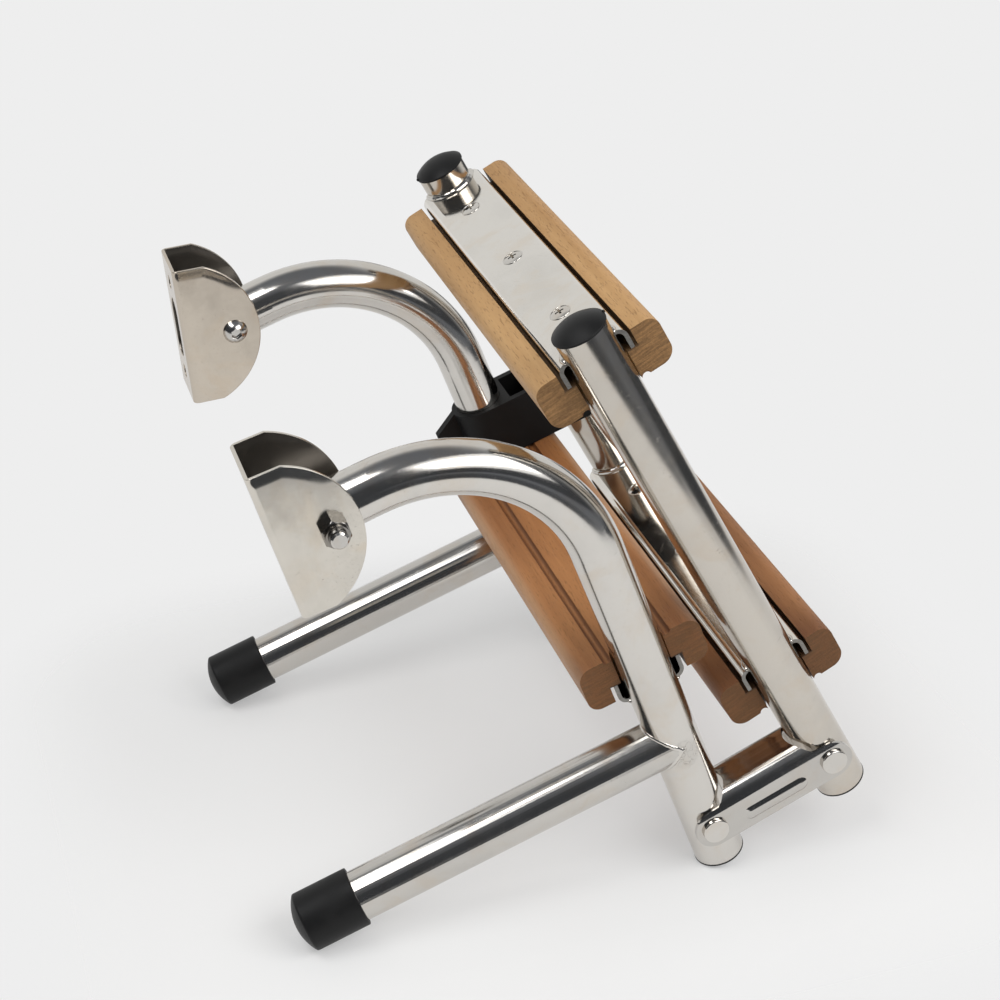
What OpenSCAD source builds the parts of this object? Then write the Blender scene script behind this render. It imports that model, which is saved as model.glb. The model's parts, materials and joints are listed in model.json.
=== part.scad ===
// Folding boarding ladder for a boat's stern, folded and resting on its feet and lower rail ends.
// Ladder frame: X across the rails, Y towards the hull, Z up the upper rails, upper hinge at 0.

/* [Tubes] */
// Outside diameter of every tube
tube_d = 25; // [20:0.5:32]
// Wall of every tube
tube_wall = 1.5; // [1:0.1:3]
// Distance between the left and right rail axes
rail_spacing = 222.5; // [160:0.5:320]
// Gap left along welded edges
weld_gap = 0.05; // [0.02:0.01:0.2]

/* [Upper rails] */
// Straight length from the upper hinge to the start of the bend
rail_straight = 168.4; // [120:1:260]
// Bend radius on the tube axis
bend_r = 80; // [50:1:120]
// Straight length from the end of the bend to the bracket bolt
bolt_reach = 22.4; // [18:0.2:40]
// Tube left beyond the bracket bolt
bolt_past = 12; // [8:0.5:16]
// Length of the rail below the upper hinge
upper_stub = 24.4; // [18:0.2:32]

/* [Stand-offs] */
// Height of the stand-off axis above the upper hinge
standoff_z = 51.3; // [40:0.1:64]
// Length from the rail axis to the rim of the foot
standoff_len = 168.4; // [120:0.2:260]
// Wall of the rubber foot round the tube
foot_wall = 2.15; // [1.5:0.05:6]
// Length of the rubber foot
foot_len = 32.4; // [24:0.1:45]
// Thickness of the foot beyond the tube end
foot_end = 6.5; // [5:0.5:10]
// Radius of the domed foot end
foot_dome_r = 25; // [22:1:80]
// Rounding at the edge of the foot end
foot_round = 1.5; // [0.5:0.25:4]

/* [End plugs] */
// Overhang of a plug's rim beyond the tube
plug_lip = 0.1; // [0.05:0.05:1]
// Thickness of a plug's rim
plug_rim = 1; // [0.6:0.1:4]
// Rounding of a plug's rim
plug_round = 0.4; // [0.1:0.05:0.6]
// Overhang of the folding rails' top plugs past the tube
crown_lip = 0.5; // [0.05:0.05:1]
// Height of the dome on the folding rails' top plugs
plug_dome = 4.2; // [1:0.1:6]
// Height of the dome on the plugs at the rails' lower ends
heel_dome = 0.5; // [0.2:0.1:1]
// Depth of a plug inside its tube
plug_depth = 14; // [8:0.5:20]
// Gap between a plug and the tube wall
plug_gap = 0.05; // [0.02:0.01:0.2]

/* [Steps] */
// Width of a wooden tread
tread_w = 63; // [56:0.5:90]
// Thickness of the wooden tread
tread_t = 24; // [20:0.5:32]
// Rounding along the upper edges of a tread
tread_round = 7; // [2:0.5:9]
// Rounding along the lower edges of a tread
tread_edge = 6; // [1:0.5:8]
// Gap between a tread's end notch and the tube
notch_gap = 0.8; // [0.4:0.1:2]
// Distance of each anti-slip groove from the middle of a tread
groove_y = 15.5; // [10:0.5:20]
// Radius of the groove cutter
groove_r = 2.2; // [1.5:0.1:3]
// Depth of the grooves
groove_depth = 1.6; // [0.8:0.1:2]
// Gap beside the channel in the recess under a tread
recess_side = 1.6; // [0.4:0.1:6]
// Outside width of the steel channel
channel_w = 34.6; // [30:0.2:36]
// Height of the steel channel
channel_h = 12; // [10:0.5:16]
// Sheet thickness of the channel
channel_t = 2; // [1.5:0.1:3]
// Outside bend radius of the channel
channel_bend = 5; // [2.2:0.1:6]
// How far the channel stands below the tread
channel_proud = 3.5; // [2:0.1:5]
// Gap between the channel's edges and the recess
recess_gap = 0.1; // [0.05:0.05:0.5]

/* [Step places] */
// Underside of the upper step's channel above the upper hinge
upper_step_z = 82; // [70:0.5:120]
// Underside of the middle step's channel from the lower hinge
middle_step_t = 65; // [60:0.5:110]
// Underside of the bottom step's channel from the end of the folding rail
bottom_step_set = 10.2; // [4:0.2:60]

/* [Step screws] */
// Distance between the screws of a step
screw_pitch = 71; // [50:1:85]
// Shank diameter of a step screw
screw_d = 4; // [3:0.1:5]
// Head diameter of a step screw
screw_head_d = 9.8; // [7:0.1:11]
// Height of the dome on a step screw's head
screw_dome = 0.9; // [0.3:0.1:1.5]
// Length of a step screw
screw_len = 22; // [16:0.5:25]
// Gap round a step screw
screw_gap = 0.05; // [0.02:0.01:0.2]
// Width of the cross recess
cross_w = 1; // [0.6:0.1:1.4]
// Length of the cross recess
cross_len = 4.4; // [3:0.1:6]
// Depth of the cross recess
cross_depth = 1.2; // [0.6:0.1:1.6]

/* [Hinge links] */
// Distance between the two hinge pins of a link
link_len = 66.7; // [58:0.1:90]
// Angle of the folded link above square to the upper rail
link_rise = 4.3; // [0:0.1:6]
// Angle of the folded rails towards the upper rails
fold_lean = 8; // [4:0.1:10]
// Sheet thickness of a link
link_t = 2.2; // [1.5:0.1:3]
// Gap between a link and the rails' plugs
link_gap = 0.3; // [0.2:0.05:0.6]
// End radius of a link's side plates
link_end_r = 10; // [8:0.5:12]
// Gap between the web's ends and the rails
web_clear = 3; // [2.5:0.1:6]
// Distance of the web's corners from the hinge pins
web_near = 9.5; // [9:0.1:12]
// Radius of the curves between a link's web and its ears
lip_r = 4; // [1:0.1:5]
// Outside bend radius of a link
link_bend = 10; // [3.2:0.1:11]
// Length of the pressed bead along a link
bead_len = 35; // [20:0.5:40]
// Radius of the tool that presses the bead
bead_r = 6.5; // [4:0.1:9]
// Height of the bead
bead_h = 1.2; // [0.3:0.1:1.6]
// Drop of the bead below the line of the hinge pins
bead_drop = 2.2; // [0:0.1:4]
// Shank diameter of a hinge pin
pin_d = 8; // [6:0.1:10]
// Head diameter of a hinge pin
pin_head_d = 13.2; // [10:0.1:15]
// Head height of a hinge pin
pin_head_h = 2.2; // [1.5:0.1:3]
// Rounding of a hinge pin's head
pin_head_round = 0.8; // [0.2:0.1:1]
// Running gap round hinge pins and bracket bolts
run_gap = 0.05; // [0.02:0.01:0.09]

/* [Folding rails] */
// Length of the folding rail above the lower hinge
lower_len = 271.2; // [230:0.2:340]
// Length of the folding rail below the lower hinge
lower_stub = 24.4; // [18:0.2:32]

/* [Brackets] */
// Length of a bracket's base
bracket_len = 73; // [60:0.5:100]
// Sheet thickness of a bracket
bracket_t = 1.8; // [1.2:0.1:3]
// Gap between a bracket's ears and the tube
bracket_gap = 3.7; // [1:0.1:8]
// Radius of a bracket's ears
ear_r = 39.8; // [36:0.2:60]
// Outside bend radius of a bracket
bracket_bend = 3; // [2.4:0.1:5]
// Distance of the bolt from the outside of the base
bolt_set = 26.8; // [24:0.1:32]
// Height of the bolt above the middle of the base
bolt_rise = -1; // [-4:0.1:4]
// Distance between the base's screw holes
base_pitch = 50; // [48:0.5:56]
// Diameter of the base's screw holes
base_hole_d = 7.4; // [5:0.1:9]
// Length of the base's middle opening
base_slot_len = 32; // [20:0.5:36]
// Width of the base's middle opening
base_slot_w = 16; // [10:0.5:18]
// Swivel of the left bracket as it rests
left_swivel = 3.5; // [-20:0.5:20]
// Swivel of the right bracket as it rests
right_swivel = 15.5; // [-20:0.5:20]

/* [Bracket bolts] */
// Shank diameter of a bracket bolt
bolt_d = 8; // [6:0.1:10]
// Diameter of the bushes between a bracket's ears and its rail
bush_d = 14; // [11:0.1:18]
// Gap between a bush and the rail
bush_gap = 0.3; // [0.2:0.05:0.6]
// Head diameter of a bracket bolt
bolt_head_d = 12.6; // [11:0.1:15]
// Head height of a bracket bolt
bolt_head_h = 4.4; // [3:0.1:6]
// Size of the hexagon socket across its corners
socket_d = 5.8; // [4:0.1:7]
// Depth of the hexagon socket
socket_depth = 2.6; // [1.5:0.1:3]
// Size of the nut across its corners
nut_d = 13.8; // [13:0.1:18]
// Height of the nut's hexagon
nut_h = 5.6; // [4:0.1:8]
// Radius of the ball that turns the nut's corners
nut_crown_r = 9; // [8:0.1:14]
// Diameter of the nut's round collar
collar_d = 10.8; // [9.6:0.1:13]
// Height of the nut's round collar
collar_h = 2.2; // [1:0.1:4]
// Length of the bolt beyond the nut
bolt_end = 3.8; // [1:0.1:6]

/* [Fold clip] */
// Height of the clip along the rail
clip_h = 30.5; // [24:0.5:40]
// Gap between the clip and the tread below it
clip_lift = 0.5; // [0.3:0.1:6]
// Wall of the clip beside the tubes
clip_wall = 3.1; // [2.4:0.1:4]
// Gap between the clip and the rail it grips
clip_gap = 0.05; // [0.02:0.01:0.2]
// Gap between the clip's jaw and the folding rail
jaw_gap = 0.4; // [0.3:0.05:0.8]
// Reach of the clip's jaw past the folding rail's axis
jaw_hold = 3.6; // [0:0.1:8]
// Length of the thumb tab
tab_len = 12.9; // [6:0.1:20]
// Thickness of the thumb tab
tab_t = 5; // [3:0.5:8]
// Drop of the thumb tab's sloping top
tab_drop = 8; // [4:0.5:14]
// Length of the pocket between the rails
pocket_len = 13; // [6:0.5:15]
// Depth of the pocket between the rails
pocket_depth = 14; // [6:0.5:20]
// Side walls of the pocket
pocket_wall = 4; // [3:0.25:6]

/* [Hidden] */
$fn = 64;
cut = 1;
steel = [0.78, 0.77, 0.75];
wood = [0.68, 0.50, 0.32];
black = [0.08, 0.08, 0.08];
tube_r = tube_d / 2;
bore_r = tube_r - tube_wall;
rail_x = rail_spacing / 2;
rail_top_z = rail_straight + bend_r;
bolt_y = bend_r + bolt_reach;
bottom_step_t = lower_len - bottom_step_set;
foot_r = tube_r + foot_wall;
foot_tip_y = standoff_len + foot_len;
foot_edge_r = foot_r - foot_round;
foot_edge = sqrt(pow(foot_dome_r - foot_round, 2) - pow(foot_edge_r, 2)) - foot_dome_r + foot_len;
foot_dome_edge = foot_edge_r * foot_dome_r / (foot_dome_r - foot_round);
pin_b = [0, -link_len * cos(link_rise), link_len * sin(link_rise)];
pin_r = pin_d / 2;
bolt_r = bolt_d / 2;
plug_r = tube_r + plug_lip;
link_in = plug_r + link_gap;
link_out = link_in + link_t;
web_set = tube_r + web_clear;
bead_half = sqrt(pow(bead_r, 2) - pow(bead_r - bead_h, 2));
bead_run = bead_len - 2 * bead_half;
bracket_in = tube_r + bracket_gap;
bracket_out = bracket_in + bracket_t;
step_h = channel_proud + tread_t;
clip_r = tube_r + clip_wall;
clip_z = upper_step_z + step_h + clip_lift;
clip_top = clip_z + clip_h;
clip_mid = clip_z + clip_h / 2;
jaw_reach = jaw_hold - pin_b[1] - (clip_mid - pin_b[2]) * tan(fold_lean);
tab_reach = clip_r + tab_len;
plug_edge_r = plug_r - plug_round;
plug_edge = plug_rim - plug_round;
upper_low = upper_stub + plug_edge;
lower_low = lower_stub + plug_edge;
edge_y = standoff_len + foot_edge - plug_edge_r;
edge_z = standoff_z - foot_edge_r + upper_low;
lean = atan2(edge_z, edge_y) - asin((foot_round - plug_round) / norm([edge_y, edge_z]));
lift = plug_edge_r * sin(lean) + upper_low * cos(lean) + plug_round;
foot_front = (foot_tip_y - foot_dome_r) * cos(lean) + standoff_z * sin(lean) + foot_dome_r;
bolt_front = bolt_y * cos(lean) + rail_top_z * sin(lean);
front_y = max(foot_front, bolt_front + base_front(left_swivel), bolt_front + base_front(right_swivel));
pin_back = pin_b[1] * cos(lean) + pin_b[2] * sin(lean);
back_y = pin_back - plug_edge_r * cos(fold_lean + lean) - lower_low * sin(fold_lean + lean) - plug_round;
middle_y = (front_y + back_y) / 2;

function base_front(angle) =
  bolt_set * cos(lean - angle) - bolt_rise * sin(lean - angle) + bracket_len / 2 * abs(sin(lean - angle));

module standing() {
  translate([0, -middle_y, lift]) rotate([-lean, 0, 0]) children();
}

module at_left() {
  translate([-rail_x, 0, 0]) children();
}

module at_right() {
  translate([rail_x, 0, 0]) mirror([1, 0, 0]) children();
}

module linked() {
  rotate([-link_rise, 0, 0]) children();
}

module folded() {
  translate(pin_b) rotate([-fold_lean, 0, 0]) children();
}

module swivelled(angle) {
  translate([0, bolt_y, rail_top_z]) rotate([angle, 0, 0]) children();
}

module across(r, len) {
  translate([-len / 2, 0, 0]) rotate([0, 90, 0]) cylinder(r = r, h = len);
}

module along_y(r, len) {
  rotate([-90, 0, 0]) cylinder(r = r, h = len);
}

module rail_path(r, low, high) {
  translate([0, 0, -low]) cylinder(r = r, h = low + rail_straight);
  translate([0, bend_r, rail_straight]) rotate([90, 0, -90])
    rotate_extrude(angle = 90) translate([bend_r, 0]) circle(r);
  translate([0, bend_r, rail_top_z]) along_y(r, high);
}

module upper_rail() {
  color(steel) difference() {
    rail_path(tube_r, upper_stub, bolt_reach + bolt_past);
    rail_path(bore_r, upper_stub, bolt_reach + bolt_past);
    across(pin_r + run_gap, tube_d + cut);
    translate([0, bolt_y, rail_top_z]) across(bolt_r + run_gap, tube_d + cut);
  }
}

module standoff_tube() {
  color(steel) translate([0, 0, standoff_z]) difference() {
    along_y(tube_r, foot_tip_y - foot_end);
    along_y(bore_r, foot_tip_y);
    translate([0, 0, -tube_d]) cylinder(r = tube_r + weld_gap, h = 2 * tube_d);
  }
}

module foot_profile() {
  square([foot_r, foot_edge]);
  translate([foot_edge_r, foot_edge]) circle(foot_round);
  intersection() {
    translate([0, foot_len - foot_dome_r]) circle(foot_dome_r);
    square([foot_dome_edge, foot_len]);
  }
}

module standoff_foot() {
  color(black) translate([0, standoff_len, standoff_z]) rotate([-90, 0, 0]) difference() {
    rotate_extrude() foot_profile();
    translate([0, 0, -cut]) cylinder(r = tube_r + plug_gap, h = foot_len - foot_end + plug_gap + cut);
  }
}

module plug_profile(r, dome) {
  edge_r = r - plug_round;
  dome_r = (pow(edge_r, 2) + pow(dome, 2)) / (2 * dome);
  square([edge_r, plug_rim]);
  square([r, plug_rim - plug_round]);
  translate([edge_r, plug_rim - plug_round]) circle(plug_round);
  intersection() {
    translate([0, plug_rim + dome - dome_r]) circle(dome_r);
    square([edge_r, plug_rim + dome]);
  }
}

module rail_plug(r, dome) {
  color(black) {
    rotate_extrude() plug_profile(r, dome);
    translate([0, 0, -plug_depth]) cylinder(r = bore_r - plug_gap, h = plug_depth);
  }
}

module trough(w, h, r) {
  translate([-w / 2, r]) square([w, h - r]);
  translate([r - w / 2, 0]) square([w - 2 * r, h]);
  translate([r - w / 2, r]) circle(r);
  translate([w / 2 - r, r]) circle(r);
}

module along_x(len) {
  translate([-len / 2, 0, 0]) rotate([90, 0, 90]) linear_extrude(len) children();
}

module rail_notches(r) {
  for (x = [-rail_x, rail_x]) {
    translate([x, 0, -cut]) cylinder(r = r, h = step_h + 2 * cut);
  }
}

module at_screws() {
  for (x = [-screw_pitch, 0, screw_pitch]) translate([x, 0, 0]) children();
}

module screw_head(gap) {
  cylinder(r1 = screw_head_d / 2 + gap, r2 = screw_d / 2 + gap, h = (screw_head_d - screw_d) / 2);
}

module step_channel() {
  color(steel) difference() {
    along_x(rail_spacing) difference() {
      trough(channel_w, channel_h, channel_bend);
      translate([0, channel_t]) trough(channel_w - 2 * channel_t, channel_h, channel_bend - channel_t);
    }
    rail_notches(tube_r + weld_gap);
    at_screws() {
      screw_head(screw_gap);
      translate([0, 0, -cut]) cylinder(r = screw_d / 2 + screw_gap, h = channel_t + 2 * cut);
    }
  }
}

module tread_profile() {
  low = tread_edge;
  top = tread_round;
  translate([-tread_w / 2, low]) square([tread_w, tread_t - low - top]);
  translate([low - tread_w / 2, 0]) square([tread_w - 2 * low, tread_t / 2]);
  translate([top - tread_w / 2, tread_t / 2]) square([tread_w - 2 * top, tread_t / 2]);
  for (side = [-1, 1]) {
    translate([side * (tread_w / 2 - low), low]) circle(low);
    translate([side * (tread_w / 2 - top), tread_t - top]) circle(top);
  }
}

module step_tread() {
  floor_z = channel_h + recess_gap;
  recess_half = channel_w / 2 + recess_side;
  color(wood) difference() {
    translate([0, 0, channel_proud]) along_x(rail_spacing) tread_profile();
    translate([-rail_spacing, -recess_half, 0]) cube([2 * rail_spacing, 2 * recess_half, floor_z]);
    rail_notches(tube_r + notch_gap);
    for (side = [-1, 1]) {
      translate([0, side * groove_y, step_h + groove_r - groove_depth]) across(groove_r, rail_spacing + cut);
    }
    at_screws() cylinder(r = screw_d / 2 + screw_gap, h = screw_len + screw_gap);
  }
}

module step_screws() {
  head_r = screw_head_d / 2;
  dome_r = (pow(head_r, 2) + pow(screw_dome, 2)) / (2 * screw_dome);
  deep = screw_dome + cross_depth;
  color(steel) at_screws() difference() {
    union() {
      screw_head(0);
      rotate_extrude() intersection() {
        translate([0, dome_r - screw_dome]) circle(dome_r);
        translate([0, -screw_dome]) square([head_r, screw_dome]);
      }
      cylinder(r = screw_d / 2, h = screw_len);
    }
    translate([-cross_len / 2, -cross_w / 2, -screw_dome]) cube([cross_len, cross_w, deep]);
    translate([-cross_w / 2, -cross_len / 2, -screw_dome]) cube([cross_w, cross_len, deep]);
  }
}

module on_upper_step() {
  standing() translate([0, 0, upper_step_z]) children();
}

module on_folded_step(t) {
  standing() folded() translate([0, 0, t]) rotate([180, 0, 0]) children();
}

module link_outline() {
  for (y = [0, -link_len]) translate([y, 0]) circle(link_end_r);
  translate([-link_len, -link_end_r]) square([link_len, 2 * link_end_r]);
  translate([web_near - link_len, -link_end_r]) square([link_len - 2 * web_near, link_end_r + link_out]);
  translate([-web_near, link_end_r]) web_lip();
  translate([web_near - link_len, link_end_r]) mirror([1, 0]) web_lip();
}

module web_lip() {
  difference() {
    square(lip_r);
    translate([lip_r, lip_r]) circle(lip_r);
  }
}

module link_section(half, r) {
  mirror([0, 1]) translate([0, -half]) trough(2 * half, half + tube_d, r);
}

module link_run(past) {
  translate([0, link_end_r + past, 0]) rotate([90, 0, 0])
    linear_extrude(link_len + 2 * (link_end_r + past)) children();
}

module rail_way() {
  high = link_out + cut;
  translate([-link_in, 0, 0]) cube([2 * link_in, web_set, high]);
  intersection() {
    cylinder(r = web_set, h = high);
    translate([-link_in, -web_set - cut, 0]) cube([2 * link_in, web_set + 2 * cut, high]);
  }
}

module hinge_link() {
  color(steel) difference() {
    union() {
      intersection() {
        along_x(2 * link_out) link_outline();
        link_run(0) link_section(link_out, link_bend);
      }
      for (side = [-1, 1]) translate([side * (link_out + bead_h - bead_r), -link_len / 2, -bead_drop]) {
        translate([0, -bead_run / 2, 0]) along_y(bead_r, bead_run);
        for (end = [-1, 1]) translate([0, end * bead_run / 2, 0]) sphere(bead_r);
      }
    }
    link_run(cut) link_section(link_in, link_bend - link_t);
    for (y = [0, -link_len]) translate([0, y, 0]) across(pin_r + run_gap, 2 * link_out + cut);
    rail_way();
    translate([0, -link_len, 0]) mirror([0, 1, 0]) rail_way();
  }
}

module pin_head() {
  rotate([0, 90, 0]) rotate_extrude() {
    square([pin_head_d / 2 - pin_head_round, pin_head_h]);
    square([pin_head_d / 2, pin_head_h - pin_head_round]);
    translate([pin_head_d / 2 - pin_head_round, pin_head_h - pin_head_round]) circle(pin_head_round);
  }
}

module hinge_pin() {
  color(steel) {
    across(pin_r, 2 * link_out);
    translate([link_out, 0, 0]) pin_head();
    mirror([1, 0, 0]) translate([link_out, 0, 0]) pin_head();
  }
}

module lower_pin() {
  linked() translate([0, -link_len, 0]) hinge_pin();
}

module lower_rail() {
  color(steel) difference() {
    translate([0, 0, -lower_stub]) cylinder(r = tube_r, h = lower_stub + lower_len);
    translate([0, 0, -lower_stub - cut]) cylinder(r = bore_r, h = lower_stub + lower_len + 2 * cut);
    across(pin_r + run_gap, tube_d + cut);
  }
}

module ear_outline() {
  translate([bolt_set, -bolt_rise]) intersection() {
    circle(ear_r);
    translate([-ear_r, -bracket_len / 2]) square([ear_r, bracket_len]);
  }
}

module bracket_section() {
  rotate(180) translate([0, -bolt_set]) trough(2 * bracket_out, 2 * ear_r, bracket_bend);
}

module bracket() {
  inner = bolt_set - bracket_t;
  slot_half = (base_slot_len - base_slot_w) / 2;
  color(steel) difference() {
    intersection() {
      along_x(2 * bracket_out) ear_outline();
      translate([0, 0, -bracket_len / 2 - bolt_rise]) linear_extrude(bracket_len) bracket_section();
    }
    translate([-bracket_in, inner - 2 * ear_r, -bracket_len])
      cube([2 * bracket_in, 2 * ear_r, 2 * bracket_len]);
    across(bolt_r + run_gap, 2 * bracket_out + cut);
    translate([0, inner - cut, -bolt_rise]) {
      for (side = [-1, 1]) {
        translate([0, 0, side * base_pitch / 2]) along_y(base_hole_d / 2, bracket_t + 2 * cut);
        translate([0, 0, side * slot_half]) along_y(base_slot_w / 2, bracket_t + 2 * cut);
      }
      translate([-base_slot_w / 2, 0, -slot_half])
        cube([base_slot_w, bracket_t + 2 * cut, 2 * slot_half]);
    }
  }
}

module bracket_bolt() {
  dome_r = (pow(bolt_head_d / 2, 2) + pow(bolt_head_h, 2)) / (2 * bolt_head_h);
  tip = bracket_out + nut_h + collar_h + bolt_end;
  color(steel) difference() {
    union() {
      translate([-tip, 0, 0]) rotate([0, 90, 0]) cylinder(r = bolt_r, h = tip + bracket_out);
      translate([bracket_out, 0, 0]) rotate([0, 90, 0]) rotate_extrude() intersection() {
        translate([0, bolt_head_h - dome_r]) circle(dome_r);
        square([bolt_head_d / 2, bolt_head_h]);
      }
    }
    translate([bracket_out + bolt_head_h - socket_depth, 0, 0]) rotate([0, 90, 0])
      cylinder(d = socket_d, h = socket_depth + cut, $fn = 6);
  }
}

module bracket_nut() {
  crown_z = nut_h - sqrt(pow(nut_crown_r, 2) - pow(nut_d * cos(30) / 2, 2));
  color(steel) translate([-bracket_out, 0, 0]) rotate([0, -90, 0]) difference() {
    union() {
      intersection() {
        cylinder(d = nut_d, h = nut_h, $fn = 6);
        translate([0, 0, crown_z]) sphere(nut_crown_r);
      }
      cylinder(d = collar_d, h = nut_h + collar_h);
    }
    translate([0, 0, -cut]) cylinder(r = bolt_r + run_gap, h = nut_h + collar_h + 2 * cut);
  }
}

module bracket_bushes() {
  inside = tube_r + bush_gap;
  color(black) for (side = [0, 180]) rotate([0, 0, side]) translate([inside, 0, 0]) rotate([0, 90, 0])
    difference() {
      cylinder(d = bush_d, h = bracket_in - inside - run_gap);
      translate([0, 0, -cut]) cylinder(r = bolt_r + run_gap, h = bracket_in);
    }
}

module clip_plan() {
  circle(clip_r);
  translate([-clip_r, -jaw_reach]) square([2 * clip_r, jaw_reach]);
}

module tab_side() {
  polygon([[0, 0], [tab_reach, 0], [tab_reach, clip_h - tab_drop], [clip_r, clip_h], [0, clip_h]]);
}

module clip() {
  jaw_r = tube_r + jaw_gap;
  color(black) difference() {
    translate([0, 0, clip_z]) {
      linear_extrude(clip_h) clip_plan();
      along_x(tab_t) tab_side();
    }
    cylinder(r = tube_r + clip_gap, h = rail_straight);
    folded() cylinder(r = jaw_r, h = lower_len);
    folded() translate([-jaw_r, -jaw_reach, 0]) cube([2 * jaw_r, jaw_reach, lower_len]);
    translate([pocket_wall - clip_r, -clip_r - pocket_len, clip_top - pocket_depth])
      cube([2 * (clip_r - pocket_wall), pocket_len, pocket_depth + cut]);
  }
}

module left_upper_rail() {
  standing() at_left() upper_rail();
}

module right_upper_rail() {
  standing() at_right() upper_rail();
}

module left_standoff_tube() {
  standing() at_left() standoff_tube();
}

module right_standoff_tube() {
  standing() at_right() standoff_tube();
}

module left_standoff_foot() {
  standing() at_left() standoff_foot();
}

module right_standoff_foot() {
  standing() at_right() standoff_foot();
}

module left_upper_rail_plug() {
  standing() at_left() translate([0, 0, -upper_stub]) rotate([180, 0, 0]) rail_plug(plug_r, heel_dome);
}

module right_upper_rail_plug() {
  standing() at_right() translate([0, 0, -upper_stub]) rotate([180, 0, 0]) rail_plug(plug_r, heel_dome);
}

module upper_step_channel() {
  on_upper_step() step_channel();
}

module upper_step_tread() {
  on_upper_step() step_tread();
}

module upper_step_screws() {
  on_upper_step() step_screws();
}

module fold_clip() {
  standing() at_right() clip();
}

module left_hinge_link() {
  standing() at_left() linked() hinge_link();
}

module right_hinge_link() {
  standing() at_right() linked() hinge_link();
}

module left_upper_hinge_pin() {
  standing() at_left() linked() hinge_pin();
}

module right_upper_hinge_pin() {
  standing() at_right() linked() hinge_pin();
}

module left_lower_hinge_pin() {
  standing() at_left() lower_pin();
}

module right_lower_hinge_pin() {
  standing() at_right() lower_pin();
}

module left_lower_rail() {
  standing() at_left() folded() lower_rail();
}

module right_lower_rail() {
  standing() at_right() folded() lower_rail();
}

module left_lower_rail_top_plug() {
  standing() at_left() folded() translate([0, 0, lower_len]) rail_plug(tube_r + crown_lip, plug_dome);
}

module right_lower_rail_top_plug() {
  standing() at_right() folded() translate([0, 0, lower_len]) rail_plug(tube_r + crown_lip, plug_dome);
}

module left_lower_rail_bottom_plug() {
  standing() at_left() folded() translate([0, 0, -lower_stub]) rotate([180, 0, 0])
    rail_plug(plug_r, heel_dome);
}

module right_lower_rail_bottom_plug() {
  standing() at_right() folded() translate([0, 0, -lower_stub]) rotate([180, 0, 0])
    rail_plug(plug_r, heel_dome);
}

module middle_step_channel() {
  on_folded_step(middle_step_t) step_channel();
}

module middle_step_tread() {
  on_folded_step(middle_step_t) step_tread();
}

module middle_step_screws() {
  on_folded_step(middle_step_t) step_screws();
}

module bottom_step_channel() {
  on_folded_step(bottom_step_t) step_channel();
}

module bottom_step_tread() {
  on_folded_step(bottom_step_t) step_tread();
}

module bottom_step_screws() {
  on_folded_step(bottom_step_t) step_screws();
}

module left_bracket() {
  standing() at_left() swivelled(left_swivel) bracket();
}

module left_bracket_bolt() {
  standing() at_left() swivelled(left_swivel) bracket_bolt();
}

module left_bracket_nut() {
  standing() at_left() swivelled(left_swivel) bracket_nut();
}

module left_bracket_bushes() {
  standing() at_left() swivelled(left_swivel) bracket_bushes();
}

module right_bracket() {
  standing() at_right() swivelled(right_swivel) bracket();
}

module right_bracket_bolt() {
  standing() at_right() swivelled(right_swivel) bracket_bolt();
}

module right_bracket_nut() {
  standing() at_right() swivelled(right_swivel) bracket_nut();
}

module right_bracket_bushes() {
  standing() at_right() swivelled(right_swivel) bracket_bushes();
}

left_upper_rail();
right_upper_rail();
left_standoff_tube();
right_standoff_tube();
left_standoff_foot();
right_standoff_foot();
left_upper_rail_plug();
right_upper_rail_plug();
upper_step_channel();
upper_step_tread();
upper_step_screws();
fold_clip();
left_hinge_link();
right_hinge_link();
left_upper_hinge_pin();
right_upper_hinge_pin();
left_lower_hinge_pin();
right_lower_hinge_pin();
left_lower_rail();
right_lower_rail();
left_lower_rail_top_plug();
right_lower_rail_top_plug();
left_lower_rail_bottom_plug();
right_lower_rail_bottom_plug();
middle_step_channel();
middle_step_tread();
middle_step_screws();
bottom_step_channel();
bottom_step_tread();
bottom_step_screws();
left_bracket();
left_bracket_bolt();
left_bracket_nut();
left_bracket_bushes();
right_bracket();
right_bracket_bolt();
right_bracket_nut();
right_bracket_bushes();
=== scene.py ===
"""Boat boarding ladder: edges, welds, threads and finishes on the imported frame, in its studio."""

import json
import logging
import math
from contextlib import contextmanager
from dataclasses import dataclass, replace
from enum import Enum
from functools import reduce
from typing import Any, Callable, ClassVar, Iterator, Sequence

import bpy
from mathutils import Matrix, Vector

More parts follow.
